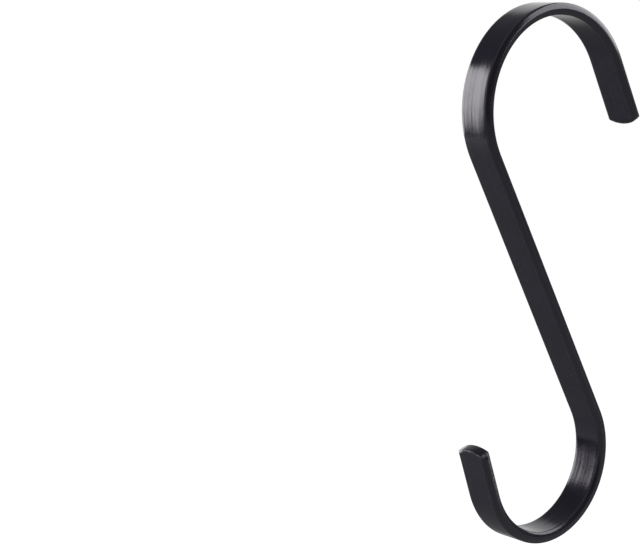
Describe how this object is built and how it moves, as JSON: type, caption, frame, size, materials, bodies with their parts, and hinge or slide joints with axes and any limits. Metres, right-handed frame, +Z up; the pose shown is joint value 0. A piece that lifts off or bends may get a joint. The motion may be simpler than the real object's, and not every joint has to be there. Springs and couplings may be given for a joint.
{
  "type": "s hook",
  "caption": "Flat steel bar bent into an S: the large upper bend hangs over a rail and the smaller lower bend carries the load. Black coating, convex narrow sides, convex cut ends.",
  "frame": {"origin": "centre of the upper bend, at the middle of the bar's width: where the middle of the rail is when it fills the bend", "axes": "+Z up as the hook hangs, +Y along the rail and across the bar's width, +X from the shank towards the upper mouth"},
  "size_m": [0.039, 0.006, 0.0915],
  "materials": {
    "black_coating": "semi-gloss black baked coating on steel"
  },
  "bodies": {
    "root": {"hook": "black_coating"}
  },
  "joints": []
}
